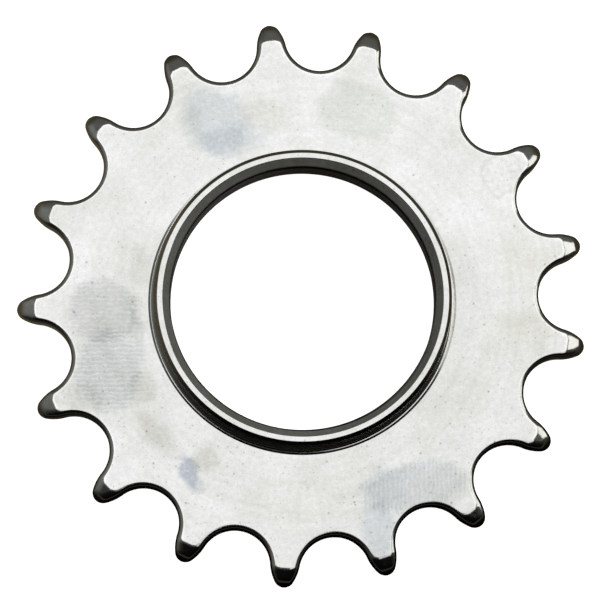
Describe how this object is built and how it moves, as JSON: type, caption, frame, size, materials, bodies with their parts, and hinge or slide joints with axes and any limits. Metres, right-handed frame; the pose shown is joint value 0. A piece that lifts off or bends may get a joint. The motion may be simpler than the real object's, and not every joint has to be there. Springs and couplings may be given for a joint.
{
  "type": "fixed gear cog",
  "caption": "Flat toothed steel ring for a bicycle chain, with a low round boss and a threaded bore right through it.",
  "frame": {"origin": "on the bore axis, at the flat back face that the cog lies on", "axes": "+Z along the bore axis, from the flat back face to the boss; +X through the middle of a tooth"},
  "size_m": [0.0734, 0.0738, 0.0077],
  "materials": {
    "steel": "satin nickel-plated steel, ground flat on its faces and tumbled on its edges"
  },
  "bodies": {
    "root": {"cog": "steel"}
  },
  "joints": []
}
